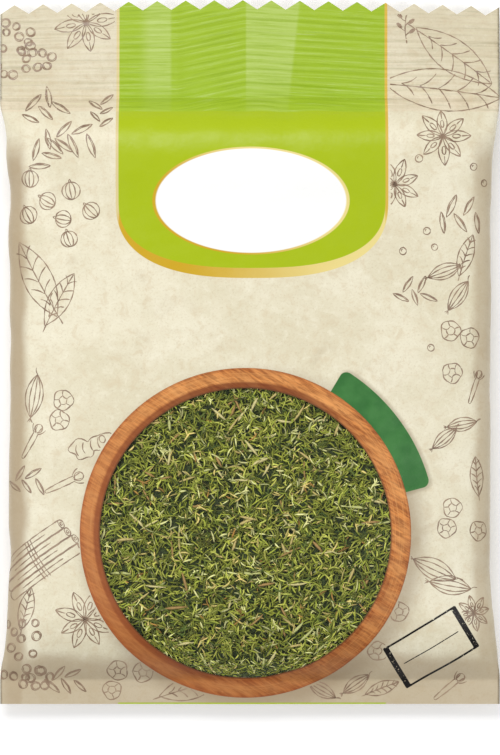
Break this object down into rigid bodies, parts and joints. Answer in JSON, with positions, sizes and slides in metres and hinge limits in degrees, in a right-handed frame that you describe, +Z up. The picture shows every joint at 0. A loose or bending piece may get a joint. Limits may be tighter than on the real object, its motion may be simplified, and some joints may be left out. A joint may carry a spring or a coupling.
{
  "type": "dried herb pouch",
  "caption": "Sealed pillow pouch of dried dill, lying on its back: printed film, tall ribbed header with a zigzag edge, clear round window, fin seal behind.",
  "frame": {"origin": "middle of the outline, on the surface that the pouch lies on", "axes": "+X to the pouch's right as its front is read, +Y along its length towards the zigzag header, +Z up out of the front panel"},
  "size_m": [0.2498, 0.352, 0.0346],
  "materials": {
    "printed_film": "printed plastic film, satin to glossy",
    "packed_dill": "packed dried dill, dull",
    "dill_leaf": "dried dill leaf, dull",
    "dill_stalk": "dried dill stalk, dull"
  },
  "bodies": {
    "root": {"dill_fill": "packed_dill", "dill_leaf_01": "dill_leaf", "dill_leaf_02": "dill_leaf", "dill_leaf_03": "dill_leaf", "dill_leaf_04": "dill_leaf", "dill_leaf_05": "dill_leaf", "dill_leaf_06": "dill_leaf", "dill_leaf_07": "dill_leaf", "dill_leaf_08": "dill_leaf", "dill_leaf_09": "dill_leaf", "dill_leaf_10": "dill_leaf", "dill_leaf_11": "dill_leaf", "dill_leaf_12": "dill_leaf", "dill_leaf_13": "dill_leaf", "dill_leaf_14": "dill_leaf", "dill_leaf_15": "dill_leaf", "dill_leaf_16": "dill_leaf", "dill_leaf_17": "dill_leaf", "dill_leaf_18": "dill_leaf", "dill_leaf_19": "dill_leaf", "dill_leaf_20": "dill_leaf", "dill_leaf_21": "dill_leaf", "dill_leaf_22": "dill_leaf", "dill_leaf_23": "dill_leaf", "dill_leaf_24": "dill_leaf", "dill_leaf_25": "dill_leaf", "dill_leaf_26": "dill_leaf", "dill_leaf_27": "dill_leaf", "dill_leaf_28": "dill_leaf", "dill_leaf_29": "dill_leaf", "dill_leaf_30": "dill_leaf", "dill_leaf_31": "dill_leaf", "dill_stalk_01": "dill_stalk", "dill_stalk_02": "dill_stalk", "dill_stalk_03": "dill_stalk", "dill_stalk_04": "dill_stalk", "dill_stalk_05": "dill_stalk", "dill_stalk_06": "dill_stalk", "pouch_film": "printed_film"}
  },
  "joints": []
}
